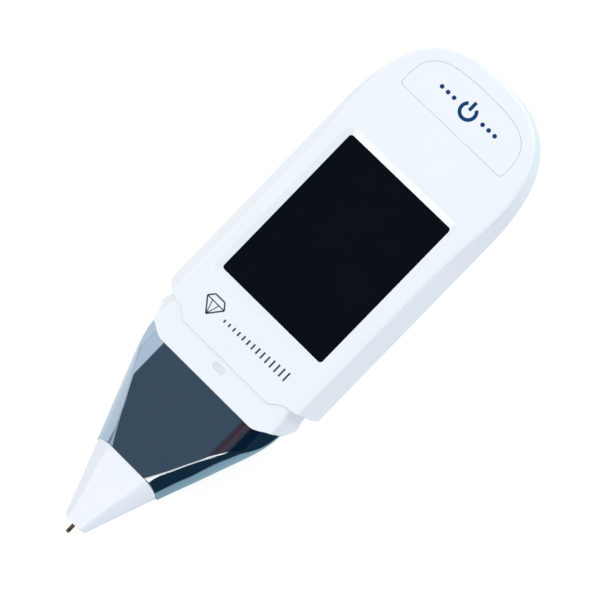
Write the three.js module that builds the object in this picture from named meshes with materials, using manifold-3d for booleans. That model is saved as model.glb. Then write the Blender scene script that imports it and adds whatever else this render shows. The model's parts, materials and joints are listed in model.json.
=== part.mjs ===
// Handheld gemstone tester with a sprung hot probe, a plated finger grip and a touch display.
// Millimetres. X runs across the device, Y along it (probe at -Y, charging end at +Y),
// Z up out of the display. The device lies on its flat back; the origin is on that back
// face, half way along the device.
// Pieces are built in a frame with y = 0 near the probe's free end and z = 0 on the
// parting line between the covers. The assembly at the end shifts them into place.
import * as THREE from 'three';
import { mergeVertices } from 'three/addons/utils/BufferGeometryUtils.js';
import Module from 'manifold-3d';

// ---------------------------------------------------------------- driving dimensions
const LENGTH = 169.5;          // probe end to charging end
const PIN_END = -0.5;          // y of the probe's free end
const BODY_HALF_W = 28;        // widest half width, at the parting line
const HALF_DEPTH = 11;         // half of the body's thickness
const FACE_INSET = 4.4;        // how far the faces stand in from the parting line
const WALL = 2.0;              // case wall
const CEILING = 9.2;           // inner face of the front and back walls
const SPLIT = 0.1;             // half of the gap at the parting line
const EDGE_GAP = 0.3;          // clearance between pieces at the visible joints
const CASE_START = 58;         // y where the case volume begins, ahead of its shaped edge
const TAIL_Y = 132.5;          // where the tail's curve begins
const TAIL_LENGTH = LENGTH + PIN_END - TAIL_Y;
const TAIL_POWER = 2.65;       // superellipse power of the tail's curve
const NOSE_Z = 10.2;           // half thickness of the plated nose
const NOSE_FLAT = 15.6;        // half width of the nose's flat
const SHOULDER = 1.05;         // slope of the nose's shoulders, across over down
const COLLAR_Z = 10.6;         // half thickness of the collar
const TIP_JOINT = 23.0;        // y of the joint between tip and nose, at the parting line
const TIP_BULGE = 0.314;       // how fast that joint moves back towards the flats
// display opening; bevelSlope is across over up
const SCREEN = { width: 36.8, length: 49.3, y: 105.4, lensTop: 9.7, corner: 0.9, bevelSlope: 2 };
// D-shaped key; yEdge follows the straight edge, the curve ends at yCrown
const KEY = {
  yEdge: 148.6, yCrown: 162.3, halfWidth: 18.4, corner: 1.2, power: 3.2, top: 10.9, gap: 0.3,
};
const SWITCH_Y = 156;
const WINDOW_Y = 61.1;         // centre of the indicator window
const PIN_RADIUS = 0.575;
const SHANK_RADIUS = 0.85;     // all screws
const RATING_PLATE = { width: 30, length: 16, y: 124, fit: 0.6 };
const BATTERY_Y = 104;
const BOARD_Y = 106;
const BOARD_TOP = 2.0;
const ABOVE_BOARD = BOARD_TOP + 0.1;  // underside of the parts on the main board
const BELOW_BOARD = 0.45;             // top of the parts under the main board

// screw and post centres
const CASE_SCREWS = [72.5, 141].flatMap((y) => [-20.5, 20.5].map((x) => [x, y]));
const BOARD_SCREWS = [[-17, 78.5], [17, 78.5]];
const CARRIER_SCREWS = [[-11.5, 65], [11.5, 65]];
const TAIL_POSTS = [[-10.5, 158], [10.5, 158]];

// side of the plated nose: y, half width at the parting line
const NOSE_SIDE = [
  [22, 11.2], [24.54, 12.13], [27.25, 13.15], [29.97, 14.17], [32.7, 15.3],
  [35.4, 16.28], [38.1, 17.3], [40.8, 18.27], [43.5, 19.3], [46.25, 20.35],
  [48.95, 21.35], [51.7, 22.2], [54.4, 22.95], [57.1, 23.3], [61, 23.5],
];
// y of the sections that the nose's outer skin runs through
const NOSE_STATIONS = [22.2, 27.25, 32.7, 38.1, 43.5, 48.95, 54.4, 57.1, 61];
// white tip: y, half width at the parting line; then y, half thickness at the flat
const TIP_SIDE = [[2.7, 3.75], [28.0, 12.8]];
const TIP_FLAT = [[2.7, 2.45], [28.0, 10.74]];
const TIP_STATIONS = [2.7, 7, 12, 17.5, 23.0, 28.0];
// side of the collar: y, half width at the parting line, half width at the flat
const COLLAR_SIDE = [
  [50, 22.6, 21.9], [57, 23.3, 21.9], [58.7, 23.55, 21.85], [59.8, 24.0, 21.75],
  [61, 24.8, 21.6], [62.4, 25.45, 21.4], [63.5, 25.6, 21.2], [64.5, 25.2, 21.05],
  [65.4, 24.8, 20.9], [69.6, 24.8, 20.5],
];
// probe-side edges of the collar and the case, as half plans: x, y from the centre outwards
const COLLAR_EDGE = [
  [0, 55.7], [16.8, 55.7], [18.7, 56.7], [20.2, 57.8], [21.8, 58.3], [23.6, 58.7], [30, 59.2],
];
const CASE_EDGE = [
  [0, 63.5], [16.0, 63.5], [18.0, 65.4], [19.8, 66.3], [22.7, 66.6],
  [25, 67.4], [26.8, 67.8], [27.8, 68.7], [31, 69.6],
];

// ---------------------------------------------------------------- finishes
const WHITE = 0xf1f5fb;
const NATURAL = 0xd9d6cc;
const STEEL = 0xb9bcc0;
const BLACK = 0x16181b;
const FINISH = {
  frontWhite: { color: WHITE, roughness: 0.28 },
  white: { color: WHITE, roughness: 0.3 },
  collarWhite: { color: WHITE, roughness: 0.32 },
  tipWhite: { color: WHITE, roughness: 0.34 },
  window: { color: 0xdde3ea, roughness: 0.25 },
  plating: { color: 0x4a5f78, roughness: 0.12, metalness: 1 },
  seal: { color: 0x22262b, roughness: 0.8 },
  pin: { color: 0xb5713e, roughness: 0.3, metalness: 1 },
  bush: { color: 0xf4f2ec, roughness: 0.5 },
  holder: { color: 0xc6a052, roughness: 0.35, metalness: 1 },
  winding: { color: 0x8c4b2a, roughness: 0.45, metalness: 0.6 },
  thermistor: { color: 0x2b3550, roughness: 0.4 },
  steel: { color: STEEL, roughness: 0.3, metalness: 1 },
  shield: { color: STEEL, roughness: 0.3, metalness: 0.9 },
  natural: { color: NATURAL, roughness: 0.5 },
  carrier: { color: NATURAL, roughness: 0.55 },
  lens: { color: 0x070b12, roughness: 0.08 },
  gasket: { color: 0x1a1c20, roughness: 0.9 },
  panel: { color: 0x12161d, roughness: 0.3 },
  panelFrame: { color: 0xe8e8e4, roughness: 0.6 },
  flex: { color: 0xb8763a, roughness: 0.5 },
  board: { color: 0x1d5b3a, roughness: 0.5 },
  chip: { color: BLACK, roughness: 0.4 },
  black: { color: BLACK, roughness: 0.5 },
  lamp: { color: 0xf5f0cf, roughness: 0.3 },
  plunger: { color: 0x2a2d31, roughness: 0.5 },
  cell: { color: 0xb7bcc4, roughness: 0.45, metalness: 0.3 },
  foam: { color: 0x2f3338, roughness: 0.95 },
  redLead: { color: 0xb3262a, roughness: 0.5 },
  blackLead: { color: 0x1b1c1f, roughness: 0.5 },
  yellowLead: { color: 0xc9a227, roughness: 0.5 },
  blueLead: { color: 0x2a6fb0, roughness: 0.5 },
  leaf: { color: 0xc9a868, roughness: 0.3, metalness: 1 },
  caseScrew: { color: 0x8f9398, roughness: 0.35, metalness: 1 },
  rating: { color: 0xc8ccd2, roughness: 0.5, metalness: 0.2 },
};

// ---------------------------------------------------------------- solids and meshes
const wasm = await Module();
wasm.setup();

function solid(source) {
  let geometry = source.clone();
  geometry.deleteAttribute('normal');
  geometry.deleteAttribute('uv');
  geometry = mergeVertices(geometry, 1e-4);
  return new wasm.Manifold(new wasm.Mesh({
    numProp: 3,
    vertProperties: new Float32Array(geometry.attributes.position.array),
    triVerts: new Uint32Array(geometry.index.array),
  }));
}

function geometryOf(manifold) {
  const mesh = manifold.getMesh();
  const geometry = new THREE.BufferGeometry();
  geometry.setAttribute('position', new THREE.Float32BufferAttribute(mesh.vertProperties, 3));
  geometry.setIndex(new THREE.Uint32BufferAttribute(mesh.triVerts, 1));
  geometry.computeVertexNormals();
  return geometry;
}

const device = new THREE.Group();
function add(name, manifold, finish) {
  const mesh = new THREE.Mesh(geometryOf(manifold), new THREE.MeshStandardMaterial(finish));
  mesh.name = name;
  device.add(mesh);
}

// moves every vertex of a geometry to move(x, y, z)
function reshape(geometry, move) {
  const position = geometry.attributes.position;
  for (let i = 0; i < position.count; i++) {
    position.setXYZ(i, ...move(position.getX(i), position.getY(i), position.getZ(i)));
  }
  return geometry;
}

// ---------------------------------------------------------------- basic shapes
const polygon = (points) => new THREE.Shape(points.map(([x, y]) => new THREE.Vector2(x, y)));
const extrude = (shape, depth, options) =>
  new THREE.ExtrudeGeometry(shape, { depth, bevelEnabled: false, ...options });

// each range is [min, max]
const box = ([xMin, xMax], [yMin, yMax], [zMin, zMax]) =>
  solid(new THREE.BoxGeometry(xMax - xMin, yMax - yMin, zMax - zMin)
    .translate((xMin + xMax) / 2, (yMin + yMax) / 2, (zMin + zMax) / 2));
// rod on the probe's axis
const rodY = (radius, yMin, yMax, segments) =>
  solid(new THREE.CylinderGeometry(radius, radius, yMax - yMin, segments)
    .translate(0, (yMin + yMax) / 2, 0));
const rodZ = (x, y, radius, zMin, zMax, segments = 18) =>
  solid(new THREE.CylinderGeometry(radius, radius, zMax - zMin, segments)
    .rotateX(Math.PI / 2).translate(x, y, (zMin + zMax) / 2));
// profile turned round the probe's axis: list of [radius, y], closed here
function turned(profile, segments) {
  const points = [...profile, profile[0]].map(([radius, y]) => new THREE.Vector2(radius, y));
  const result = solid(new THREE.LatheGeometry(points, segments));
  // a profile listed the other way round gives an inside-out solid
  return result.volume() < 0
    ? solid(new THREE.LatheGeometry(points.reverse(), segments))
    : result;
}
const prism = (points, zMin, zMax) =>
  solid(extrude(polygon(points), zMax - zMin).translate(0, 0, zMin));
// a (y, z) profile carried across the device
const acrossX = (points, xMin, xMax) =>
  solid(extrude(polygon(points), xMax - xMin)
    .rotateY(Math.PI / 2).rotateX(Math.PI / 2).translate(xMin, 0, 0));

function roundRect(width, length, radius) {
  const shape = new THREE.Shape();
  const x = width / 2;
  const y = length / 2;
  shape.moveTo(-x + radius, -y);
  shape.lineTo(x - radius, -y);
  shape.absarc(x - radius, -y + radius, radius, -Math.PI / 2, 0);
  shape.lineTo(x, y - radius);
  shape.absarc(x - radius, y - radius, radius, 0, Math.PI / 2);
  shape.lineTo(-x + radius, y);
  shape.absarc(-x + radius, y - radius, radius, Math.PI / 2, Math.PI);
  shape.lineTo(-x, -y + radius);
  shape.absarc(-x + radius, -y + radius, radius, Math.PI, Math.PI * 1.5);
  return shape;
}
// flat rounded plate centred on x = 0
const plate = (width, length, corner, y, zMin, zMax) =>
  solid(extrude(roundRect(width, length, corner), zMax - zMin, { curveSegments: 3 })
    .translate(0, y, zMin));
// plate larger than the display opening by grow, in width and in length
const screenPlate = (grow, corner, zMin, zMax) =>
  plate(SCREEN.width + grow, SCREEN.length + grow, corner, SCREEN.y, zMin, zMax);
// rounded rectangle, width by height, carried along Y
const slotY = (width, height, corner, yMin, depth) =>
  solid(extrude(roundRect(width, height, corner), depth, { curveSegments: 4 })
    .rotateX(-Math.PI / 2).translate(0, yMin, 0));
// a round section carried along a curve
function wire(points, radius, steps, curveSegments) {
  const section = new THREE.Shape();
  section.absarc(0, 0, radius, 0, Math.PI * 2);
  const path = new THREE.CatmullRomCurve3(points.map((point) => new THREE.Vector3(...point)));
  return solid(new THREE.ExtrudeGeometry(section, {
    steps, curveSegments, bevelEnabled: false, extrudePath: path,
  }));
}
// screw with its head up and a slot along X
function slottedScrew([x, y], { bottom, headRadius, headBottom, headTop }) {
  const slotHalf = headRadius - 0.7;
  return rodZ(x, y, SHANK_RADIUS, bottom, 2.4, 12)
    .add(rodZ(x, y, headRadius, headBottom, headTop, 20))
    .subtract(box([x - slotHalf, x + slotHalf], [y - 0.2, y + 0.2], [headTop - 0.4, 4]));
}

// value at y in a table of [y, value], held constant past its ends
function tableAt(table, y) {
  if (y <= table[0][0]) return table[0][1];
  for (let i = 1; i < table.length; i++) {
    const [yBefore, before] = table[i - 1];
    const [yAfter, after] = table[i];
    if (y <= yAfter) return before + ((y - yBefore) / (yAfter - yBefore)) * (after - before);
  }
  return table[table.length - 1][1];
}
const { smoothstep } = THREE.MathUtils;
// point on a superellipse about the origin
function superellipse(angle, halfWidth, height, power) {
  const cosine = Math.cos(angle);
  return [
    Math.sign(cosine) * halfWidth * Math.abs(cosine) ** (2 / power),
    height * Math.sin(angle) ** (2 / power),
  ];
}

// ---------------------------------------------------------------- case volumes
// plan outline, taken round the tail from the right side (+X) to the left
function bodyOutline(yStart) {
  const segments = 26;
  const sideStations = [117, 122, 127];
  const points = [yStart, ...sideStations].map((y) => [BODY_HALF_W, y]);
  for (let i = 0; i <= segments; i++) {
    const angle = (i / segments) * Math.PI;
    const [x, rise] = superellipse(angle, BODY_HALF_W, TAIL_LENGTH, TAIL_POWER);
    points.push([x, TAIL_Y + rise]);
  }
  for (const y of [...sideStations].reverse()) points.push([-BODY_HALF_W, y]);
  points.push([-BODY_HALF_W, yStart]);
  return points;
}
// how far the face edge stands in from the parting line at this station
const faceInset = (y) =>
  FACE_INSET - 2.2 * smoothstep(y, 117, 152) - 0.55 * smoothstep(y, 150, 163);

// outward direction of the plan outline at x, y
function outlineNormal(x, y) {
  if (y <= TAIL_Y) return [Math.sign(x), 0];
  const across = Math.sign(x) * (Math.abs(x) / BODY_HALF_W) ** (TAIL_POWER - 1) / BODY_HALF_W;
  const along = ((y - TAIL_Y) / TAIL_LENGTH) ** (TAIL_POWER - 1) / TAIL_LENGTH;
  const size = Math.hypot(across, along);
  return [across / size, along / size];
}

function caseVolume(yStart, zMin, zMax, inset) {
  const geometry = extrude(polygon(bodyOutline(yStart)), zMax - zMin);
  return solid(reshape(geometry, (x, y, height) => {
    const z = height + zMin;
    const [across, along] = outlineNormal(x, y);
    const shift = inset + (faceInset(y) * Math.abs(z)) / HALF_DEPTH;
    return [x - across * shift, y - along * shift, z];
  }));
}
// everything on the tail side of a half-plan edge
function behind(edge, shift = 0) {
  const yFar = 200;
  const right = edge.map(([x, y]) => [x, y + shift]);
  const left = right.slice(1).reverse().map(([x, y]) => [-x, y]);
  const xMax = edge[edge.length - 1][0];
  return prism([...left, ...right, [xMax, yFar], [-xMax, yFar]], -20, 20);
}

// ---------------------------------------------------------------- skinned volumes along Y
// stations: [y, quarter], a quarter being points [x, z] from the side to the top;
// each section is the quarter mirrored into a full ring
function skin(stations) {
  const quarterSteps = stations[0][1].length - 1;
  const ringSteps = 4 * quarterSteps;
  const spans = stations.length - 1;
  const ring = [];
  for (let i = 0; i < ringSteps; i++) {
    const angle = (i / ringSteps) * Math.PI * 2;
    ring.push([Math.cos(angle), Math.sin(angle)]);
  }
  const geometry = extrude(polygon(ring), spans, { steps: spans });
  return solid(reshape(geometry, (ringX, ringY, station) => {
    const turn = Math.round((Math.atan2(ringY, ringX) / (Math.PI * 2)) * ringSteps);
    // counted backwards, so that the faces point outwards
    const index = (2 * ringSteps - turn) % ringSteps;
    const [y, points] = stations[Math.round(station)];
    const quadrant = Math.floor(index / quarterSteps);
    const step = index % quarterSteps;
    const [x, z] = points[quadrant % 2 === 0 ? step : quarterSteps - step];
    const onLeft = quadrant === 1 || quadrant === 2;
    return [onLeft ? -x : x, y, quadrant >= 2 ? -z : z];
  }));
}
// quarter section with a flat top at zFlat, and a side given as x(z)
function flatTopQuarter(zFlat, sideAt, steps) {
  const points = [];
  for (let i = 0; i <= steps; i++) {
    const z = (zFlat * i) / steps;
    points.push([sideAt(z), z]);
  }
  points.push([0, zFlat]);
  return points;
}
const oval = (radius, z, power) =>
  radius * Math.max(1 - (z / radius) ** power, 0.001) ** (1 / power);

// cone with a flat front and back, and sloping shoulders near the collar
function noseQuarter(y, inset, steps) {
  const radius = tableAt(NOSE_SIDE, y) - inset;
  const zFlat = NOSE_Z - inset;
  const power = 1.65 + 0.12 * smoothstep(y, 36, 46);
  const shoulder = (z) => NOSE_FLAT - inset * 0.5 + (zFlat - z) * SHOULDER;
  return flatTopQuarter(zFlat, (z) => Math.min(oval(radius, z, power), shoulder(z)), steps);
}
const noseVolume = (stations, inset, steps) =>
  skin(stations.map((y) => [y, noseQuarter(y, inset, steps)]));
function tipQuarter(y) {
  const radius = tableAt(TIP_SIDE, y);
  return flatTopQuarter(tableAt(TIP_FLAT, y), (z) => oval(radius, z, 1.7), 6);
}
// everything ahead of the tip joint, grown towards the tail by a clearance
function aheadOfJoint(gap) {
  const y = TIP_JOINT + gap;
  const yEnd = -5;
  const zEnd = 14;
  const yBack = y + zEnd * TIP_BULGE;
  return acrossX([[yEnd, -zEnd], [yBack, -zEnd], [y, 0], [yBack, zEnd], [yEnd, zEnd]], -20, 20);
}
// six-sided section between flats at +-zFlat; rows: y, half width at z = 0, at the flat
const hexSkin = (zFlat, rows) =>
  skin(rows.map(([y, side, flat]) => [y, [[side, 0], [flat, zFlat], [0, zFlat]]]));

// ---------------------------------------------------------------- covers
const caseRegion = behind(CASE_EDGE);
const portCut = slotY(9.8, 4.0, 1.9, 165, 8);

// bevel round the display opening, widening towards the front
function screenBevel() {
  const depth = 1.2;
  const spread = 2 * SCREEN.bevelSlope * depth;
  const shape = roundRect(SCREEN.width, SCREEN.length, SCREEN.corner);
  const geometry = reshape(extrude(shape, depth, { curveSegments: 5 }), (x, y, z) => {
    const grow = z > depth / 2 ? spread : 0;
    return [x * (1 + grow / SCREEN.width), y * (1 + grow / SCREEN.length), z];
  });
  return solid(geometry.translate(0, SCREEN.y, 10));
}
// D-shaped plan of the key, offset outwards by grow
function keyOutline(grow) {
  const segments = 18;
  const halfWidth = KEY.halfWidth + grow;
  const yEdge = KEY.yEdge - grow;
  const yCorner = yEdge + KEY.corner + grow;
  const yCurve = KEY.yEdge + KEY.corner;
  const height = KEY.yCrown + grow - yCurve;
  const points = [
    [-halfWidth + KEY.corner, yEdge], [halfWidth - KEY.corner, yEdge], [halfWidth, yCorner],
  ];
  for (let i = 1; i < segments; i++) {
    const [x, rise] = superellipse((i / segments) * Math.PI, halfWidth, height, KEY.power);
    points.push([x, yCurve + rise]);
  }
  points.push([-halfWidth, yCorner]);
  return points;
}

// bevelled display frame, key opening, charging cut-out, screw bosses
function frontCover() {
  let cover = caseVolume(CASE_START, SPLIT, HALF_DEPTH, 0).intersect(caseRegion)
    .subtract(caseVolume(50, -1, CEILING, WALL));
  const bossLimit = caseVolume(CASE_START, SPLIT, 10, 0.8);
  for (const [x, y] of CASE_SCREWS) {
    cover = cover.add(rodZ(x, y, 2.3, 0.3, 10).intersect(bossLimit));
  }
  for (const [x, y] of CASE_SCREWS) cover = cover.subtract(rodZ(x, y, 1.0, -1, 6.5, 12));
  // pocket for the lens, then the straight lip and the bevel
  return cover.subtract(screenPlate(2.8, 1.6, 8, SCREEN.lensTop + 0.1))
    .subtract(screenPlate(0, SCREEN.corner, 9, 12))
    .subtract(screenBevel())
    .subtract(prism(keyOutline(0), 8, 12))
    .subtract(portCut);
}
add('front_cover', frontCover(), FINISH.frontWhite);

// flat back with four screw wells and a shallow recess for the rating plate
function rearCover() {
  let cover = caseVolume(CASE_START, -HALF_DEPTH, -SPLIT, 0).intersect(caseRegion)
    .subtract(caseVolume(50, -CEILING, 1, WALL));
  const bossLimit = caseVolume(CASE_START, -10, -SPLIT, 0.8);
  for (const [x, y] of CASE_SCREWS) {
    cover = cover.add(rodZ(x, y, 3.1, -10, -0.3).intersect(bossLimit));
  }
  for (const [x, y] of CASE_SCREWS) {
    cover = cover.subtract(rodZ(x, y, 2.3, -12, -7.5)).subtract(rodZ(x, y, 1.15, -8, 1, 12));
  }
  // posts for the main board and the tail board
  for (const [x, y] of BOARD_SCREWS) {
    cover = cover.add(rodZ(x, y, 2.2, -10, 0.3)).subtract(rodZ(x, y, 1.0, -4, 1, 12));
  }
  for (const [x, y] of TAIL_POSTS) cover = cover.add(rodZ(x, y, 1.6, -10, 1.6, 12));
  const { width, length, y, fit } = RATING_PLATE;
  return cover.subtract(plate(width + fit, length + fit, 1.6, y, -12, -10.6))
    .subtract(portCut);
}
add('rear_cover', rearCover(), FINISH.white);

// ---------------------------------------------------------------- collar, nose and tip
// stands out of the case, over the nose; its neck lies inside the covers
function noseCollar() {
  const neck = hexSkin(8.8, [[60.5, 24.0, 20.6], [69.0, 24.4, 20.8]]);
  const noseSocket = hexSkin(8.2, [[40, 22.0, 15.6], [64.7, 22.2, 17.4]]);
  const bore = hexSkin(7.0, [[63, 22.0, 17.6], [75, 22.0, 17.6]]);
  let collar = hexSkin(COLLAR_Z, COLLAR_SIDE)
    .intersect(behind(COLLAR_EDGE))
    .subtract(behind(CASE_EDGE, -EDGE_GAP))
    .add(neck)
    .subtract(noseSocket)
    .subtract(bore)
    .subtract(plate(4.4, 2.3, 0.4, WINDOW_Y, 7, 12));
  for (const [x, y] of CARRIER_SCREWS) {
    collar = collar.add(rodZ(x, y, 2.4, -7.5, -2.3)).subtract(rodZ(x, y, 1.0, -5.5, -1, 12));
  }
  return collar;
}
add('nose_collar', noseCollar(), FINISH.collarWhite);
add('indicator_window', plate(4.0, 1.9, 0.3, WINDOW_Y, 8.6, 10.5), FINISH.window);

// shell of the finger grip, with a tongue that goes into the collar
function chromeNose() {
  const tongue = noseVolume([45, 50, 59.4], 2.0, 3)
    .intersect(hexSkin(7.8, [[44, 21.6, 15.0], [63, 21.6, 15.0]]));
  return noseVolume(NOSE_STATIONS, 0, 7)
    .subtract(behind(COLLAR_EDGE, -EDGE_GAP))
    .subtract(aheadOfJoint(EDGE_GAP))
    .add(tongue)
    .subtract(noseVolume([29.0, 38, 50, 72], 3.3, 3))
    .subtract(rodY(8.6, 18, 30, 28));
}
add('chrome_nose', chromeNose(), FINISH.plating);

// cone with flat front and back, a stepped bore and a groove for the seal
function tipCone() {
  const bore = [
    [0, 2], [0.85, 2], [0.85, 4.0], [2.0, 4.0], [2.0, 9.5],
    [3.6, 12.5], [7.0, 22.6], [7.0, 30], [0, 30],
  ];
  const groove = [[7.65, 27.1], [9, 27.1], [9, 28.2], [7.65, 28.2]];
  return skin(TIP_STATIONS.map((y) => [y, tipQuarter(y)]))
    .intersect(aheadOfJoint(0))
    .add(rodY(8.3, 20, 28.9, 28))
    .subtract(turned(bore, 20))
    .subtract(turned(groove, 28));
}
add('tip_cone', tipCone(), FINISH.tipWhite);
add('tip_seal', turned([
  [7.75, 27.25], [8.1, 27.2], [8.5, 27.45], [8.5, 27.85], [8.1, 28.1], [7.75, 28.05],
], 24), FINISH.seal);

// ---------------------------------------------------------------- sprung probe
add('probe_pin', turned([
  [0, PIN_END], [0.35, PIN_END + 0.08], [PIN_RADIUS, PIN_END + 0.45], [PIN_RADIUS, 23], [0, 23],
], 16), FINISH.pin);
add('guide_bush', turned([[0.66, 4.2], [1.85, 4.2], [1.85, 12.5], [0.66, 12.5]], 16), FINISH.bush);
add('probe_holder', turned([
  [0.62, 12.8], [2.0, 12.8], [2.0, 20.0], [2.7, 20.0], [2.7, 21.6],
  [1.4, 21.6], [1.4, 34], [0, 34], [0, 23.2], [0.62, 23.2],
], 16), FINISH.holder);

// enamelled wire in close turns round the holder, as one ridged sleeve
function heaterWinding() {
  const ridges = 6;
  const yStart = 13.4;
  const [inner, valley, crest] = [2.1, 2.4, 2.62];
  const profile = [[inner, yStart]];
  for (let i = 0; i < ridges; i++) {
    profile.push([valley, yStart + i], [crest, yStart + 0.5 + i]);
  }
  profile.push([valley, yStart + ridges], [inner, yStart + ridges]);
  return turned(profile, 16);
}
add('heater_winding', heaterWinding(), FINISH.winding);
add('thermistor', solid(new THREE.SphereGeometry(0.75, 10, 6)
  .scale(1, 1.3, 1).translate(0, 35.2, 0)), FINISH.thermistor);

function probeSpring() {
  const turns = 5.5;
  const radius = 2.15;
  const [yStart, yEnd] = [22.3, 29.6];
  const steps = 66;
  const points = [];
  for (let i = 0; i <= steps; i++) {
    const angle = (i / steps) * turns * Math.PI * 2;
    const y = yStart + ((yEnd - yStart) * i) / steps;
    points.push([radius * Math.cos(angle), y, radius * Math.sin(angle)]);
  }
  return wire(points, 0.28, steps, 2);
}
add('probe_spring', probeSpring(), FINISH.steel);
add('spring_retainer',
  turned([[1.6, 30.1], [4.5, 30.1], [4.5, 32.2], [1.6, 32.2]], 20), FINISH.natural);

// tube for the probe, a cross plate inside the nose, two legs into the case
function noseCarrier() {
  let carrier = rodY(6.0, 27.0, 56, 24)
    .add(box([-14, 14], [48, 51], [-5.6, 5.6]))
    .add(box([-14, -9], [49, 68], [-2, 2]))
    .add(box([9, 14], [49, 68], [-2, 2]))
    .subtract(rodY(4.7, 20, 70, 24));
  for (const [x, y] of CARRIER_SCREWS) carrier = carrier.subtract(rodZ(x, y, 1.0, -5, 5, 12));
  return carrier;
}
add('nose_carrier', noseCarrier(), FINISH.carrier);
CARRIER_SCREWS.forEach((centre, i) => {
  const size = { bottom: -1.6, headRadius: 1.7, headBottom: 2.2, headTop: 3.4 };
  add(`carrier_screw_${i + 1}`, slottedScrew(centre, size), FINISH.steel);
});

// ---------------------------------------------------------------- display stack
const PANEL = { width: 42.0, length: 58.4, y: SCREEN.y - 0.4 };
const panelPlate = (zMin, zMax) => plate(PANEL.width, PANEL.length, 0.5, PANEL.y, zMin, zMax);
add('display_lens', screenPlate(2.2, 1.4, 8.6, SCREEN.lensTop), FINISH.lens);
add('lens_gasket',
  screenPlate(1.8, 1.2, 8.0, 8.35).subtract(screenPlate(-0.2, 0.8, 7, 9)), FINISH.gasket);
add('lcd_panel', panelPlate(5.3, 7.7), FINISH.panel);
add('lcd_frame', panelPlate(3.9, 5.0).subtract(plate(36, 52, 1, PANEL.y, 3, 6)), FINISH.panelFrame);
// ribbon folded from the panel's end down to the board: y, z
add('display_flex', acrossX([
  [134.5, 6.2], [136.4, 6.2], [137.0, 5.6], [137.0, 3.6], [136.4, 3.0], [132.6, 3.0],
  [132.6, 3.25], [136.2, 3.25], [136.75, 3.8], [136.75, 5.4], [136.2, 5.95], [134.5, 5.95],
], -7, 7), FINISH.flex);

// ---------------------------------------------------------------- boards
function mainBoard() {
  let board = plate(41, 62, 1, BOARD_Y, 0.6, BOARD_TOP);
  for (const [x, y] of BOARD_SCREWS) board = board.subtract(rodZ(x, y, 1.15, 0, 3, 12));
  return board;
}
add('main_board', mainBoard(), FINISH.board);
add('processor', box([-6, 6], [98, 110], [ABOVE_BOARD, 3.3]), FINISH.chip);
add('shield_can', plate(18, 13, 0.6, 88.5, ABOVE_BOARD, 3.6), FINISH.shield);
add('display_socket', box([-8, 8], [129.2, 132.3], [ABOVE_BOARD, 3.6]), FINISH.natural);
add('buzzer', rodZ(11.5, 125, 4.2, -1.5, BELOW_BOARD, 32)
  .subtract(rodZ(11.5, 125, 0.9, -2, -1.0, 12)), FINISH.black);
add('battery_socket', box([-16.5, -10.5], [128, 132], [-2.6, BELOW_BOARD]), FINISH.natural);
add('probe_socket', box([-4, 4], [77, 81], [-2.6, BELOW_BOARD]), FINISH.natural);
add('indicator_lamp', plate(2.6, 1.2, 0.1, WINDOW_Y, 7.2, 8.0), FINISH.lamp);
BOARD_SCREWS.forEach((centre, i) => {
  const size = { bottom: -1.2, headRadius: 1.8, headBottom: 2.15, headTop: 3.3 };
  add(`board_screw_${i + 1}`, slottedScrew(centre, size), FINISH.steel);
});
add('tail_board', plate(26, 15, 1, 154.8, 1.9, 3.1), FINISH.board);
// ribbon from the main board up to the tail board: y, z
add('tail_flex', acrossX([
  [133.5, 2.25], [138, 2.25], [143, 3.3], [150, 3.3],
  [150, 3.5], [142.9, 3.5], [137.9, 2.45], [133.5, 2.45],
], 8.5, 16.5), FINISH.flex);
// shell open towards the tail, with a tongue inside
add('charge_socket', slotY(8.9, 3.2, 1.5, 160.9, 7.3)
  .subtract(slotY(8.3, 2.6, 1.25, 162.4, 8))
  .add(box([-3.3, 3.3], [161.6, 167.2], [-0.35, 0.35])), FINISH.steel);

// ---------------------------------------------------------------- power key
// cap, flange behind the opening's edge, and a stem over the plunger
add('power_key', prism(keyOutline(-KEY.gap), 8.7, KEY.top)
  .add(prism(keyOutline(0.9), 8.0, 8.9))
  .add(rodZ(0, SWITCH_Y, 2.2, 7.1, 8.3)), FINISH.white);
add('switch_plunger', rodZ(0, SWITCH_Y, 1.7, 5.9, 7.05, 20), FINISH.plunger);
add('key_switch', box([-3.1, 3.1], [SWITCH_Y - 3.1, SWITCH_Y + 3.1], [3.2, 6.3])
  .subtract(rodZ(0, SWITCH_Y, 1.85, 5.0, 8, 20)), FINISH.black);

// ---------------------------------------------------------------- battery and leads
add('battery_cell', plate(33, 44, 2.2, BATTERY_Y, -8.3, -2.9), FINISH.cell);
add('battery_pad', plate(29, 38, 1, BATTERY_Y, -9.05, -8.45), FINISH.foam);
const batteryLead = (points) => wire(points, 0.5, 9, 3);
const probeLead = (points) => wire(points, 0.45, 14, 3);
add('battery_lead_red', batteryLead([
  [-4, 126.3, -5], [-7, 128.2, -4.8], [-11.2, 130, -4.4], [-12.6, 130.5, -3.9],
  [-12.6, 130.5, -3.0],
]), FINISH.redLead);
add('battery_lead_black', batteryLead([
  [-6.5, 126.3, -6.6], [-9.5, 128, -6.4], [-13.6, 128.8, -5.6], [-14.9, 129.5, -4.3],
  [-14.9, 129.5, -3.0],
]), FINISH.blackLead);
add('probe_lead_heater', probeLead([
  [0.9, 37.6, 0.6], [1.4, 46, 1.4], [1.6, 56, 0.2],
  [1.4, 66, -3.4], [1.3, 73, -3.6], [1.3, 76.6, -1.6],
]), FINISH.yellowLead);
add('probe_lead_sensor', probeLead([
  [-0.9, 37.6, -0.6], [-1.4, 46, 0.2], [-1.6, 56, -1.2],
  [-1.4, 66, -4.0], [-1.3, 73, -4.2], [-1.3, 76.6, -2.0],
]), FINISH.blueLead);
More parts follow.
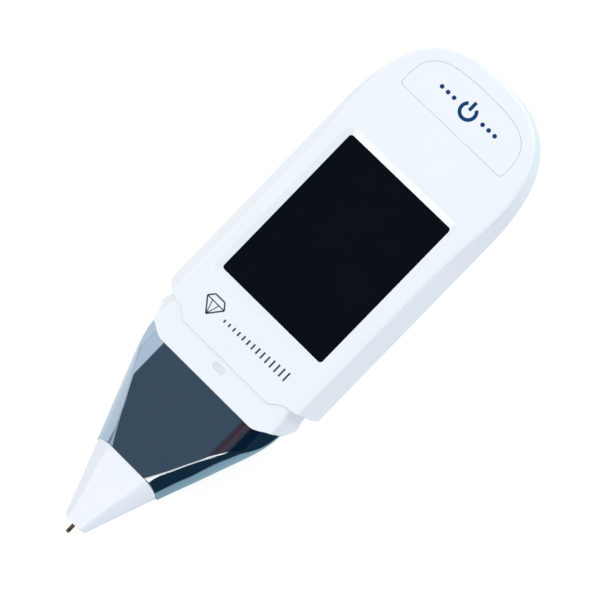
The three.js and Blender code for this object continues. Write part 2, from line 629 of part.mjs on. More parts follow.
// leaf that grounds the plated nose to the board, so that it senses the fingers: y, z
add('grip_contact', acrossX([
  [51.8, -6.4], [58, -6.4], [63, -3.2], [75, -0.3], [79.5, 0.2],
  [79.5, 0.45], [74.9, 0.0], [62.9, -2.9], [57.9, -6.1], [51.8, -6.1],
], 5.2, 8.2), FINISH.leaf);

// ---------------------------------------------------------------- case screws, rating plate
// head towards the back, with a cross recess
function caseScrew([x, y]) {
  const [long, short] = [1.3, 0.25];
  const recess = box([x - long, x + long], [y - short, y + short], [-10, -8.3])
    .add(box([x - short, x + short], [y - long, y + long], [-10, -8.3]));
  return rodZ(x, y, SHANK_RADIUS, -7.9, 5, 12)
    .add(rodZ(x, y, 2.0, -8.9, -7.6, 18))
    .subtract(recess);
}
CASE_SCREWS.forEach((centre, i) => {
  add(`case_screw_${i + 1}`, caseScrew(centre), FINISH.caseScrew);
});
add('rating_plate', plate(
  RATING_PLATE.width, RATING_PLATE.length, 1.4, RATING_PLATE.y, -10.9, -10.65,
), FINISH.rating);

// ---------------------------------------------------------------- assembly
device.position.set(0, -(LENGTH / 2 + PIN_END), HALF_DEPTH);
const group = new THREE.Group();
group.add(device);
export default group;
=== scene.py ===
# A handheld probe tester, lying on its back. From the tip to the tail: probe pin, white
# tip, plated nose, collar, then a flat case with a screen and one large key.
# Device coordinates are millimetres: x across, y from the tip's datum towards the tail,
# z up from the parting plane of the two case covers, towards the screen.
import json
import math
from contextlib import contextmanager
from functools import lru_cache

import bmesh
import bpy
from mathutils import Matrix, Vector


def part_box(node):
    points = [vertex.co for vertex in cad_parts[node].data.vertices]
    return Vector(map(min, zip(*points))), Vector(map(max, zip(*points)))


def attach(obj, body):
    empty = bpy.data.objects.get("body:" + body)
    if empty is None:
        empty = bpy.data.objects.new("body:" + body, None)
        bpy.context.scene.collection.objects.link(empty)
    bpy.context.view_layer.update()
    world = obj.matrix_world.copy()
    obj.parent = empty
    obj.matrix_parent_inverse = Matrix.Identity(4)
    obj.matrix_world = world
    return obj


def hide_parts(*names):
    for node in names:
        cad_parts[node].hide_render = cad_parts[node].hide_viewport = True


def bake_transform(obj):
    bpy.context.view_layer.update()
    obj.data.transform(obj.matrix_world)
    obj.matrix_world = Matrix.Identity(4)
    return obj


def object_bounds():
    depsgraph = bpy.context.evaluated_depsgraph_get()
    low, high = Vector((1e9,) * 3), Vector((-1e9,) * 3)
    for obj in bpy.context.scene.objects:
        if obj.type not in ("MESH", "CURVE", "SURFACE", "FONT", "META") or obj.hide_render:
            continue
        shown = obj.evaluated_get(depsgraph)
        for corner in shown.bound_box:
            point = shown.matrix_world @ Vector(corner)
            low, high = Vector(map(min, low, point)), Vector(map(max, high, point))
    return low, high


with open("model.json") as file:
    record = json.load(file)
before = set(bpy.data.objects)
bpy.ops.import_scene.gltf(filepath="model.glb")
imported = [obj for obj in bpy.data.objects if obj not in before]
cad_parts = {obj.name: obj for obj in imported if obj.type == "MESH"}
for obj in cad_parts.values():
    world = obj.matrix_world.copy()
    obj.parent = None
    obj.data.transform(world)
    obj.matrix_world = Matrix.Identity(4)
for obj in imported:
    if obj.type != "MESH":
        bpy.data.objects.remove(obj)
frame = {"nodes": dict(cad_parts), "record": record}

# ------------------------------------------------------------------ taken from the CAD pieces
CAD_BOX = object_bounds()
PIN_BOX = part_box("probe_pin")
FRONT_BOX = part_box("front_cover")
REAR_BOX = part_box("rear_cover")
LENS_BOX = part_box("display_lens")
WINDOW_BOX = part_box("indicator_window")

DATUM_Y = PIN_BOX[0].y + 0.0005               # metres
PARTING_Z = (FRONT_BOX[1].z + REAR_BOX[0].z) / 2     # metres


def mid_y(box):
    """Device y of the middle of a box."""
    return ((box[0].y + box[1].y) / 2 - DATUM_Y) * 1000


HALF_W = (FRONT_BOX[1].x - FRONT_BOX[0].x) * 500
HALF_D = (FRONT_BOX[1].z - REAR_BOX[0].z) * 500
TAIL_END = (FRONT_BOX[1].y - DATUM_Y) * 1000
SCREEN_Y = mid_y(LENS_BOX)
LENS_TOP = (LENS_BOX[1].z - PARTING_Z) * 1000
WINDOW_Y = mid_y(WINDOW_BOX)
PIN_R = (PIN_BOX[1].x - PIN_BOX[0].x) * 500
PIN_END = (PIN_BOX[0].y - DATUM_Y) * 1000

# ------------------------------------------------------------------ sizes in millimetres
# case
FACE_INSET = 4.4                              # how far the sides lean in by full height
WALL, CEILING, SPLIT = 2.0, 9.2, 0.1
FACE_Z = HALF_D - 0.03                        # leaves room for printed marks
FACE_FILLET, FILLET_STEPS = 1.25, 7
CASE_START, HOLLOW_START = 56.0, 50.0
TAIL_LEN = 36.5
TAIL_Y = TAIL_END - TAIL_LEN
TAIL_POWER, TAIL_STEPS = 2.65, 112
PORT_SIZE, PORT_Y = (9.8, 4.0, 1.9), (164.6, 171.0)
SCREW_X = 20.5
SCREWS = [(x, y) for y in (72.5, 141.0) for x in (-SCREW_X, SCREW_X)]
POST_R, SCREW_BORE_R = 3.1, 1.15
LABEL_Y = 124

# Plate sizes are width, length, corner radius.
LABEL_SIZE, LABEL_RECESS = (30.0, 16.0, 1.4), (30.6, 16.6, 1.6)
GLASS_SIZE, GLASS_POCKET, GLASS_BOTTOM = (39.0, 51.5, 1.4), (39.6, 52.1, 1.6), 8.6
SCREEN_W, SCREEN_L, SCREEN_CORNER, SCREEN_BEVEL = 36.8, 49.3, 0.9, 2.0
WINDOW_SIZE, WINDOW_HOLE = (3.89, 1.79, 0.68), (3.92, 1.82, 0.7)

# power key
KEY_Y0, KEY_Y1, KEY_HALF_W, KEY_TOP = 148.6, 162.3, 18.4, 10.9
KEY_POWER, KEY_STEPS, KEY_CORNER = 3.2, 60, 1.2
# z, growth of the outline
KEY_LAYERS = [(8.0, 0.75), (8.15, 0.9), (8.9, 0.9), (8.9, -0.30), (10.45, -0.05), (10.80, -0.05),
              (10.86, -0.06), (KEY_TOP - 0.012, -0.09), (KEY_TOP, -0.13)]

# nose
NOSE_Z, NOSE_FLAT = 10.2, 16.74               # height and half width of the flat top
SHOULDER, SHOULDER_REACH = 1.05, 3.4          # slope of the shoulder, reach of its rounding
LOWER_X, LOWER = 19.6, 0.62                   # where it turns to the lower facet, facet's slope
NOSE_POINTS, NOSE_RAYS, TURN_WEIGHT, NOSE_BLEND = 58, 420, 9.0, 0.30
# y, half width
NOSE_SIDE = [(22, 11.2), (24.54, 12.13), (27.25, 13.15), (29.97, 14.17), (32.7, 15.3),
             (35.4, 16.28), (38.1, 17.3), (40.8, 18.27), (43.5, 19.3), (46.25, 20.35),
             (48.95, 21.35), (51.7, 22.2), (54.4, 22.95), (57.1, 23.3), (61, 23.5)]

# collar
COLLAR_Z = 10.6
# y, half width at the parting plane, half width of the flat
COLLAR = [(50, 22.6, 22.0), (57, 23.3, 22.2), (58.7, 23.55, 22.2), (59.8, 24.0, 22.1),
          (61, 24.8, 22.0), (62.4, 25.45, 21.8), (63.5, 25.6, 21.65), (64.5, 25.2, 21.5),
          (65.4, 24.8, 21.35), (69.6, 24.8, 21.0)]
COLLAR_SIDE = [(y, side) for y, side, flat in COLLAR]
COLLAR_FLAT = [(y, flat) for y, side, flat in COLLAR]
# y, flat height, half width of the flat, half width at the parting plane
COLLAR_NECK = [(60.5, 8.8, 20.6, 24.0), (69.0, 8.8, 20.8, 24.4)]
COLLAR_FLANGE = [(68.25, 9.08, 22.15, 25.8), (69.15, 9.08, 22.15, 25.8)]
COLLAR_BORE = [(40, 8.2, 15.6, 22.0), (64.7, 8.2, 17.4, 22.2)]
COLLAR_REAR_BORE = [(63, 7.0, 17.6, 22.0), (75, 7.0, 17.6, 22.0)]

# Tipward edges of the collar and the case, seen from above, right half: x, y
COLLAR_EDGE = [(0, 55.7), (17.2, 55.7), (19.1, 56.6), (20.6, 57.6), (22.0, 58.3), (23.6, 59.0),
               (30, 60.2)]
CASE_EDGE = [(0, 63.5), (16.0, 63.5), (18.0, 65.4), (19.8, 66.3), (22.7, 66.6), (25, 67.4),
             (26.8, 67.8), (27.8, 68.7), (31, 69.6)]
COLLAR_EDGE_ROUND, CASE_EDGE_ROUND = 1.0, 0.9

# tip and pin
TIP_JOINT, TIP_BULGE = 23.0, 0.314            # y of the joint, how steeply it runs back
TIP_START = 2.7
TIP_SIDE = [(TIP_START, 3.75), (28.0, 12.8)]  # y, half width
TIP_FLAT = [(TIP_START, 2.45), (28.0, 10.74)]  # y, height of the flat
# radius, y
TIP_SPIGOT = [(0, 20.0), (8.3, 20.0), (8.3, 27.1), (7.65, 27.1), (7.65, 28.2), (8.3, 28.2),
              (8.3, 28.6), (8.0, 28.9), (0, 28.9)]
TIP_BORE = [(0, 1.5), (1.25, 1.5), (0.85, 3.0), (0.85, 4.0), (2.0, 4.0), (2.0, 9.5), (3.6, 12.5),
            (7.0, 22.6), (7.0, 30), (0, 30)]
NOSE_MOUTH = [(0, 18), (8.6, 18), (8.6, 30), (0, 30)]
PIN_BACK, PIN_DOME, PIN_GROOVE = 23.0, 0.38, 0.03

# case screws: radius, z
SCREW_WELL = [(0, -12), (2.5, -12), (2.5, -10.75), (2.3, -10.5), (2.3, -7.5), (0, -7.5)]
SCREW_BODY = [(0, -8.85), (1.4, -8.85), (1.8, -8.7), (1.98, -8.35), (2.0, -7.62), (0.85, -7.6),
              (0.85, 4.3), (0.5, 5.0), (0, 5.0)]
SLOT_HALF_W, SLOT_HALF_L = 0.2, 0.95


def place(x, y, z):
    """Device millimetres to the frame in metres."""
    return Vector((x * 0.001, DATUM_Y + y * 0.001, PARTING_Z + z * 0.001))


# ------------------------------------------------------------------ mesh tools
@contextmanager
def editing(mesh):
    """Opens a mesh for bmesh operations and writes it back."""
    work = bmesh.new()
    work.from_mesh(mesh)
    yield work
    work.to_mesh(mesh)
    work.free()


def new_object(name, vertices, faces):
    mesh = bpy.data.meshes.new(name)
    mesh.from_pydata([place(*v) for v in vertices], [], faces)
    made = bpy.data.objects.new(name, mesh)
    bpy.context.scene.collection.objects.link(made)
    with editing(mesh) as work:
        bmesh.ops.remove_doubles(work, verts=work.verts, dist=1e-7)
        bmesh.ops.recalc_face_normals(work, faces=work.faces)
    return made


def loft(name, rings, closed=False):
    """Rings of equal length, each a closed loop of (x, y, z); capped unless closed on itself."""
    size, count = len(rings[0]), len(rings)
    vertices = [point for ring in rings for point in ring]
    faces = []
    for j in range(count if closed else count - 1):
        k = (j + 1) % count
        for i in range(size):
            i2 = (i + 1) % size
            faces.append((j * size + i, j * size + i2, k * size + i2, k * size + i))
    if not closed:
        faces.append(tuple(reversed(range(size))))
        faces.append(tuple(range((count - 1) * size, count * size)))
    return new_object(name, vertices, faces)


def stack(name, layers):
    """Solid through layers of (z, outline)."""
    return loft(name, [[(x, y, z) for x, y in outline] for z, outline in layers])


def prism(name, outline, low_z, high_z):
    return stack(name, [(low_z, outline), (high_z, outline)])


def lathe(name, profile, segments, upright_at=None):
    """Turns a closed profile of (radius, along) about the y axis, or about z at a given (x, y)."""
    rings = []
    for i in range(segments):
        angle = 2 * math.pi * i / segments
        cosine, sine = math.cos(angle), math.sin(angle)
        if upright_at is None:
            rings.append([(r * cosine, along, r * sine) for r, along in profile])
        else:
            x, y = upright_at
            rings.append([(x + r * cosine, y + r * sine, along) for r, along in profile])
    made = loft(name, rings, closed=True)
    with editing(made.data) as work:
        bmesh.ops.dissolve_degenerate(work, dist=1e-8, edges=work.edges)
        bmesh.ops.recalc_face_normals(work, faces=work.faces)
    return made


def upright_rod(name, x, y, radius, low_z, high_z, segments=40):
    profile = [(0, low_z), (radius, low_z), (radius, high_z), (0, high_z)]
    return lathe(name, profile, segments, (x, y))


def apply_modifiers(target):
    depsgraph = bpy.context.evaluated_depsgraph_get()
    depsgraph.update()
    mesh = bpy.data.meshes.new_from_object(target.evaluated_get(depsgraph))
    old = target.data
    target.modifiers.clear()
    target.data = mesh
    mesh.name = target.name
    bpy.data.meshes.remove(old)


def boolean(target, tool, operation="DIFFERENCE"):
    """Combines the target with a tool, which is used up."""
    modifier = target.modifiers.new("boolean", "BOOLEAN")
    modifier.operation = operation
    modifier.object = tool
    modifier.solver = "EXACT"
    bpy.context.view_layer.update()
    apply_modifiers(target)
    bpy.data.objects.remove(tool)
    with editing(target.data) as work:
        bmesh.ops.remove_doubles(work, verts=work.verts, dist=2e-6)
        bmesh.ops.dissolve_degenerate(work, dist=1e-7, edges=work.edges)


def soften(target, width, segments=3, angle=24, merge=True):
    """Rounds the cut edges, then weights the normals so that the flats stay flat."""
    if merge:
        with editing(target.data) as work:
            bmesh.ops.dissolve_limit(work, angle_limit=math.radians(0.05),
                                     verts=work.verts, edges=work.edges)
    if width:
        bevel = target.modifiers.new("edge", "BEVEL")
        bevel.width = width * 0.001
        bevel.segments = segments
        bevel.limit_method = "ANGLE"
        bevel.angle_limit = math.radians(angle)
        bevel.use_clamp_overlap = True
        bevel.miter_outer = "MITER_ARC"
        bevel.harden_normals = False
    normals = target.modifiers.new("weight", "WEIGHTED_NORMAL")
    normals.keep_sharp = True
    normals.weight = 60
    normals.mode = "FACE_AREA"
    for face in target.data.polygons:
        face.use_smooth = True
    bpy.context.view_layer.update()
    apply_modifiers(target)


# ------------------------------------------------------------------ curves and outlines
def arc(x, y, radius, start, end, steps):
    """Points on a circle from one angle to another, in degrees."""
    angles = [math.radians(start + (end - start) * k / steps) for k in range(steps + 1)]
    return [(x + radius * math.cos(angle), y + radius * math.sin(angle)) for angle in angles]


def bend(start, corner, end, steps):
    """Quadratic curve from start to end, pulled towards the corner."""
    points = []
    for k in range(steps + 1):
        share = k / steps
        point = (start * (1 - share) ** 2 + corner * 2 * share * (1 - share)
                 + end * share * share)
        points.append((point.x, point.y))
    return points


def round_corners(line, reach):
    """Rounds every corner of an open line."""
    rounded = [line[0]]
    for points in zip(line, line[1:], line[2:]):
        before, corner, after = map(Vector, points)
        back, ahead = before - corner, after - corner
        trim = min(reach, back.length * 0.45, ahead.length * 0.45)
        rounded += bend(corner + back.normalized() * trim, corner,
                        corner + ahead.normalized() * trim, 5)
    return rounded + [line[-1]]


def tailward_of(edge, reach, back=200, shift=0.0):
    """Everything on the tail side of an edge line, mirrored about x = 0, as far as y = back."""
    right = round_corners([(x, y + shift) for x, y in edge], reach)
    left = [(-x, y) for x, y in reversed(right[1:])]
    end_x = edge[-1][0]
    return prism("cut", left + right + [(end_x, back), (-end_x, back)], -20.0, 20.0)


def round_rect(width, length, radius):
    points = []
    for turn, (side, end) in enumerate(((1, -1), (1, 1), (-1, 1), (-1, -1))):
        start = -90 + 90 * turn
        points += arc(side * (width / 2 - radius), end * (length / 2 - radius), radius,
                      start, start + 90, 8)
    return points


def plate(name, size, y, low_z, high_z):
    """Rounded plate centred on x = 0; size is width, length, corner radius."""
    return prism(name, [(px, py + y) for px, py in round_rect(*size)], low_z, high_z)


def interpolate(table, y):
    if y <= table[0][0]:
        return table[0][1]
    for (start, low), (end, high) in zip(table, table[1:]):
        if y <= end:
            return low + (high - low) * (y - start) / (end - start)
    return table[-1][1]


def smoothed(table, y, half_window=2.2):
    """The table averaged over a short window, so that a mirror surface has no kinks."""
    samples = 9
    return sum(interpolate(table, y + half_window * (2 * (k + 0.5) / samples - 1))
               for k in range(samples)) / samples


def smoothstep(start, end, value):
    share = min(1.0, max(0.0, (value - start) / (end - start)))
    return share * share * (3 - 2 * share)


def smooth_min(first, second, width):
    overlap = max(width - abs(first - second), 0.0) / width
    return min(first, second) - overlap * overlap * width * 0.25


def stations(start, end, step):
    """Even stations, both ends included, about one step apart."""
    count = max(1, int(round((end - start) / step)))
    return [start + (end - start) * i / count for i in range(count + 1)]


# ------------------------------------------------------------------ case volumes
def case_outline(start_y):
    """Outline from above, open at the tip end: ((x, y), outward normal)."""
    side_ys = [start_y, 75.0, 95.0]
    side_ys += [112 + 2.0 * i for i in range(15) if 112 + 2.0 * i < TAIL_Y - 0.5]
    points = [((HALF_W, y), (1.0, 0.0)) for y in side_ys]
    for i in range(TAIL_STEPS + 1):
        angle = math.pi * i / TAIL_STEPS
        cosine, sine = math.cos(angle), max(math.sin(angle), 0.0)
        x = math.copysign(HALF_W * abs(cosine) ** (2 / TAIL_POWER), cosine)
        rise = TAIL_LEN * sine ** (2 / TAIL_POWER)
        normal_x = math.copysign((abs(x) / HALF_W) ** (TAIL_POWER - 1) / HALF_W, x)
        normal_y = (rise / TAIL_LEN) ** (TAIL_POWER - 1) / TAIL_LEN
        length = math.hypot(normal_x, normal_y)
        points.append(((x, TAIL_Y + rise), (normal_x / length, normal_y / length)))
    return points + [((-HALF_W, y), (-1.0, 0.0)) for y in reversed(side_ys)]


def face_inset(y):
    """The sides grow steeper towards the tail."""
    return FACE_INSET - 2.2 * smoothstep(117, 152, y) - 0.55 * smoothstep(150, 163, y)


def fillet_point(inset, top_z, radius, share):
    """(inwards, z) on the true arc between the leaning side and the face."""
    down = Vector((-inset, -HALF_D)).normalized()
    corner = Vector((inset * top_z / HALF_D, top_z))
    trim = radius * math.tan(math.atan2(HALF_D, inset) / 2)
    on_side, on_face = corner + down * trim, corner + Vector((trim, 0))
    centre = Vector((on_face.x, on_face.y - radius))
    start = math.atan2(on_side.y - centre.y, on_side.x - centre.x)
    angle = start + (math.pi / 2 - start) * share
    return centre.x + radius * math.cos(angle), centre.y + radius * math.sin(angle)


def case_volume(name, start_y, sign, low_z, top_z, wall=0.0, fillet=0.0):
    """Half a case; sign 1 is above the parting plane, -1 below."""
    outline = case_outline(start_y)

    def ring(step_in):
        points = []
        for (x, y), (normal_x, normal_y) in outline:
            inwards, z = step_in(face_inset(y))
            inwards += wall
            points.append((x - normal_x * inwards, y - normal_y * inwards, z * sign))
        return points

    rings = [ring(lambda inset: (inset * abs(low_z) / HALF_D, low_z))]
    if fillet:
        for k in range(FILLET_STEPS + 1):
            share = k / FILLET_STEPS
            rings.append(ring(lambda inset: fillet_point(inset, top_z, fillet, share)))
    else:
        rings.append(ring(lambda inset: (inset * top_z / HALF_D, top_z)))
    return loft(name, rings)


def key_outline(grow):
    """Straight tipward edge with small corners, and one broad arch towards the tail."""
    half_w, start_y = KEY_HALF_W + grow, KEY_Y0 - grow
    arch_y = KEY_Y0 + 1.2
    rise = KEY_Y1 + grow - arch_y
    corner_x, corner_y = half_w - KEY_CORNER, start_y + KEY_CORNER
    points = arc(corner_x, corner_y, KEY_CORNER, -90, 0, 6)
    for i in range(1, KEY_STEPS):
        angle = math.pi * i / KEY_STEPS
        cosine, sine = math.cos(angle), math.sin(angle)
        y = arch_y + rise * sine ** (2 / KEY_POWER)
        if y > corner_y + 0.05:
            points.append((math.copysign(half_w * abs(cosine) ** (2 / KEY_POWER), cosine), y))
    return points + arc(-corner_x, corner_y, KEY_CORNER, 180, 270, 6)


# ------------------------------------------------------------------ skinned volumes along y
def mirror_quarter(quarter):
    """Quarter section [(x, z)] from the side (z = 0) to the top (x = 0) made into a full loop."""
    return (list(quarter)
            + [(-x, z) for x, z in reversed(quarter[:-1])]
            + [(-x, -z) for x, z in quarter[1:]]
            + [(x, -z) for x, z in reversed(quarter[1:-1])])


def skin(name, sections):
    """Solid through sections of (y, quarter)."""
    return loft(name, [[(x, y, z) for x, z in mirror_quarter(quarter)]
                       for y, quarter in sections])


def flat_topped(flat_z, side_at, reach, side_steps, arc_steps):
    """Side curve x(z) up to a flat, with the corner rounded over this reach either way."""
    flat_half = side_at(flat_z)
    slope = Vector((side_at(flat_z - 0.3) - flat_half, -0.3)).normalized()
    trim = min(reach, flat_half * 0.45, flat_z * 0.45)
    side_z = flat_z + slope.y * trim
    heights = [side_z * j / side_steps for j in range(side_steps)]
    quarter = [(side_at(z), z) for z in heights]
    flat_start = Vector((flat_half - trim, flat_z))
    quarter += bend(Vector((side_at(side_z), side_z)), Vector((flat_half, flat_z)),
                    flat_start, arc_steps)
    return quarter + [(flat_start.x * 0.5, flat_z), (0.0, flat_z)]


def hex_skin(name, sections, corner):
    """Six-sided solid; sections are y, flat height, half width of flat, half width at z = 0."""
    def quarter(flat_z, flat_half, side_half):
        return flat_topped(flat_z, lambda z: side_half + (flat_half - side_half) * z / flat_z,
                           corner, side_steps=4, arc_steps=6)
    return skin(name, [(y, quarter(*sizes)) for y, *sizes in sections])


@lru_cache(maxsize=None)
def nose_top(inset):
    """Flat height, and a polar table (angle, x, z) of the facet, rounded shoulder and flat."""
    flat_z, flat_half = NOSE_Z - inset, NOSE_FLAT - inset * 0.5
    down = Vector((SHOULDER, -1.0)).normalized() * SHOULDER_REACH
    lower_x = LOWER_X - inset * 0.5
    lower_z = flat_z - (lower_x - flat_half) / SHOULDER
    points = [(lower_x + LOWER * (lower_z - z), z)
              for z in (-8.0, -2.0, 1.0, 4.0, lower_z - 0.5)]
    points.append((lower_x, lower_z))
    points += bend(Vector((flat_half + down.x, flat_z + down.y)), Vector((flat_half, flat_z)),
                   Vector((flat_half - SHOULDER_REACH, flat_z)), 60)
    return flat_z, [(math.atan2(z, x), x, z) for x, z in points]


def nose_top_radius(angle, inset):
    """Distance from the axis to the top profile at an angle."""
    flat_z, table = nose_top(inset)
    if angle >= table[-1][0]:
        return flat_z / math.sin(angle)
    for (_, x0, z0), (end_angle, x1, z1) in zip(table, table[1:]):
        if angle <= end_angle:
            break
    # where the ray meets this stretch of the profile
    run, rise = x1 - x0, z1 - z0
    return (x0 * rise - z0 * run) / (math.cos(angle) * rise - math.sin(angle) * run)


def nose_quarter(y, inset=0.0):
    """Rounded sides trimmed by the flat top and shoulders; points gather where it turns."""
    half_w = smoothed(NOSE_SIDE, y) - inset
    power = 1.65 + 0.12 * smoothstep(36, 46, y)
    dense = []
    for k in range(NOSE_RAYS + 1):
        angle = math.pi / 2 * k / NOSE_RAYS
        cosine, sine = math.cos(angle), math.sin(angle)
        side = half_w / (cosine ** power + sine ** power) ** (1 / power)
        radius = smooth_min(side, nose_top_radius(angle, inset), NOSE_BLEND)
        dense.append(Vector((radius * cosine, radius * sine)))
    marks, along, heading = [0.0], 0.0, None
    for start, end in zip(dense, dense[1:]):
        step = end - start
        new_heading = math.atan2(step.y, step.x)
        turn = 0.0 if heading is None else abs(new_heading - heading) * TURN_WEIGHT
        along += step.length + turn
        heading = new_heading
        marks.append(along)
    quarter, j = [(half_w, 0.0)], 0
    for k in range(1, NOSE_POINTS):
        wanted = along * k / NOSE_POINTS
        while marks[j + 1] < wanted:
            j += 1
        share = (wanted - marks[j]) / (marks[j + 1] - marks[j])
        point = dense[j] * (1 - share) + dense[j + 1] * share
        quarter.append((point.x, point.y))
    return quarter + [(0.0, NOSE_Z - inset)]


def tip_quarter(y, inset=0.0):
    half_w, flat_z = interpolate(TIP_SIDE, y) - inset, interpolate(TIP_FLAT, y) - inset
    power = 1.7 + 0.4 * smoothstep(5, 24, y)

    def oval(z):
        return half_w * max(1 - (z / half_w) ** power, 0.001) ** (1 / power)

    return flat_topped(flat_z, oval, reach=0.3 + 0.012 * (y - TIP_START),
                       side_steps=20, arc_steps=8)


def tipward_of_joint(gap):
    """Everything ahead of the joint between tip and nose, which moves back towards the flats."""
    y, reach_z = TIP_JOINT + gap, 14
    arm_y = y + reach_z * TIP_BULGE
    joint = [(y + TIP_BULGE * math.hypot(z, 0.5) - TIP_BULGE * 0.5, z)
             for z in (-3, -2, -1, -0.5, 0, 0.5, 1, 2, 3)]
    profile = [(-5, -reach_z), (arm_y, -reach_z)] + joint + [(arm_y, reach_z), (-5, reach_z)]
    return loft("cut", [[(x, py, pz) for py, pz in profile] for x in (-20, 20)])


# ------------------------------------------------------------------ shader tools
def feed(tree, sockets, inputs):
    """Links or sets sockets by name or number; colours are given as (r, g, b)."""
    for key, value in inputs.items():
        socket = sockets[key]
        if isinstance(value, bpy.types.NodeSocket):
            tree.links.new(value, socket)
        elif socket.type == "RGBA":
            socket.default_value = (*value, 1)
        else:
            socket.default_value = value


def add_node(tree, kind, inputs={}, **settings):
    """Adds a shader node and returns its outputs."""
    node = tree.nodes.new("ShaderNode" + kind)
    for name, value in settings.items():
        setattr(node, name, value)
    feed(tree, node.inputs, inputs)
    return node.outputs


def map_range(tree, value, low, high, to_low=0.0, to_high=1.0, smooth=False):
    return add_node(tree, "MapRange", {
        "Value": value, "From Min": low, "From Max": high, "To Min": to_low, "To Max": to_high,
    }, interpolation_type="SMOOTHSTEP" if smooth else "LINEAR")["Result"]


def mix_colour(tree, factor, first, second):
    return add_node(tree, "Mix", {"A": first, "B": second, "Factor": factor},
                    data_type="RGBA")["Result"]


def mix_shader(tree, factor, first, second):
    return add_node(tree, "MixShader", {"Fac": factor, 1: first, 2: second})[0]


def multiply(tree, first, second):
    return add_node(tree, "Math", {0: first, 1: second}, operation="MULTIPLY")[0]


def ramp(tree, factor, stops):
    """Colour ramp through stops of (position, colour)."""
    node = tree.nodes.new("ShaderNodeValToRGB")
    elements = node.color_ramp.elements
    for element, (position, colour) in ((elements[0], stops[0]), (elements[1], stops[-1])):
        element.position = position
        element.color = (*colour, 1)
    for position, colour in stops[1:-1]:
        elements.new(position).color = (*colour, 1)
    feed(tree, node.inputs, {"Fac": factor})
    return node.outputs["Color"]


def shade(colour, gain):
    return tuple(min(1.0, value * gain) for value in colour)


# ------------------------------------------------------------------ materials
MATERIALS = {}


class Surface:
    """A new material, with its Principled shader and object coordinates at hand."""

    def __init__(self, name):
        material = MATERIALS[name] = bpy.data.materials.new(name)
        material.use_nodes = True
        self.tree = material.node_tree
        self.coords = add_node(self.tree, "TexCoord")["Object"]

    def set(self, inputs):
        feed(self.tree, self.tree.nodes["Principled BSDF"].inputs, inputs)

    def noise(self, scale, detail=4.0, roughness=0.5, stretch=None):
        coords = self.coords
        if stretch:
            coords = add_node(self.tree, "Mapping",
                              {"Vector": coords, "Scale": stretch})["Vector"]
        return add_node(self.tree, "TexNoise", {
            "Scale": scale, "Detail": detail, "Roughness": roughness, "Vector": coords})["Fac"]

    def vary(self, noise, low, high):
        """Spreads the middle of a noise over a range of values."""
        return map_range(self.tree, noise, 0.3, 0.7, low, high)

    def tones(self, noise, first, second):
        return mix_colour(self.tree, self.vary(noise, 0, 1), first, second)

    def bump(self, height, depth, strength):
        self.set({"Normal": add_node(self.tree, "Bump", {
            "Distance": depth, "Strength": strength, "Height": height})["Normal"]})


def moulded(name, colour, roughness=0.32, variation=0.03, grain=2600, depth=4e-6, coat=0.0):
    surface = Surface(name)
    broad = surface.noise(scale=55, detail=3)
    surface.set({"Base Color": surface.tones(broad, shade(colour, 1 - variation),
                                             shade(colour, 1 + variation * 0.4))})
    fine = surface.noise(scale=grain, detail=5, roughness=0.6)
    surface.set({
        "Roughness": surface.vary(surface.noise(scale=420), roughness - 0.035,
                                  roughness + 0.045),
        "Coat Weight": coat,
        "Coat Roughness": 0.12,
    })
    surface.bump(fine, depth, strength=0.6)
    return surface


def metal(name, colour, roughness, stretch=None, grain=1500, depth=3e-6, variation=0.08):
    surface = Surface(name)
    fine = surface.noise(scale=grain, roughness=0.55, stretch=stretch)
    surface.set({
        "Metallic": 1.0,
        "Base Color": surface.tones(surface.noise(scale=260), shade(colour, 1 - variation),
                                    shade(colour, 1 + variation * 0.5)),
        "Roughness": surface.vary(fine, roughness * 0.8, roughness * 1.25),
    })
    surface.bump(fine, depth, strength=0.7)


def plated_nose():
    surface = Surface("plated_nose")
    smear = surface.noise(scale=90, detail=5, roughness=0.6, stretch=(1.0, 0.35, 1.0))
    surface.set({
        "Metallic": 1.0,
        "Base Color": surface.tones(smear, (0.44, 0.535, 0.65), (0.47, 0.565, 0.68)),
        "Roughness": surface.vary(smear, low=0.035, high=0.075),
    })
    surface.bump(surface.noise(scale=160, detail=2), depth=2.2e-6, strength=0.25)


def lens_black():
    surface = Surface("lens_black")
    smear = surface.noise(scale=70, detail=5, roughness=0.65)
    surface.set({
        "Base Color": surface.tones(smear, (0.0014, 0.0026, 0.0048), (0.0020, 0.0034, 0.0060)),
        "Roughness": surface.vary(smear, low=0.04, high=0.10),
        "IOR": 1.45,
        "Specular IOR Level": 0.30,
    })


def board_green():
    """Copper tracks seen through the solder mask."""
    surface = Surface("board_green")
    tracks = add_node(surface.tree, "TexBrick", {
        "Scale": 420,
        "Color1": (0.010, 0.115, 0.052),
        "Color2": (0.014, 0.135, 0.062),
        "Mortar": (0.030, 0.200, 0.085),
        "Mortar Size": 0.05,
        "Vector": surface.coords,
    })
    surface.set({
        "Base Color": tracks["Color"],
        "Roughness": surface.vary(surface.noise(scale=500), low=0.28, high=0.4),
    })
    surface.bump(tracks["Fac"], depth=-1.2e-5, strength=0.6)


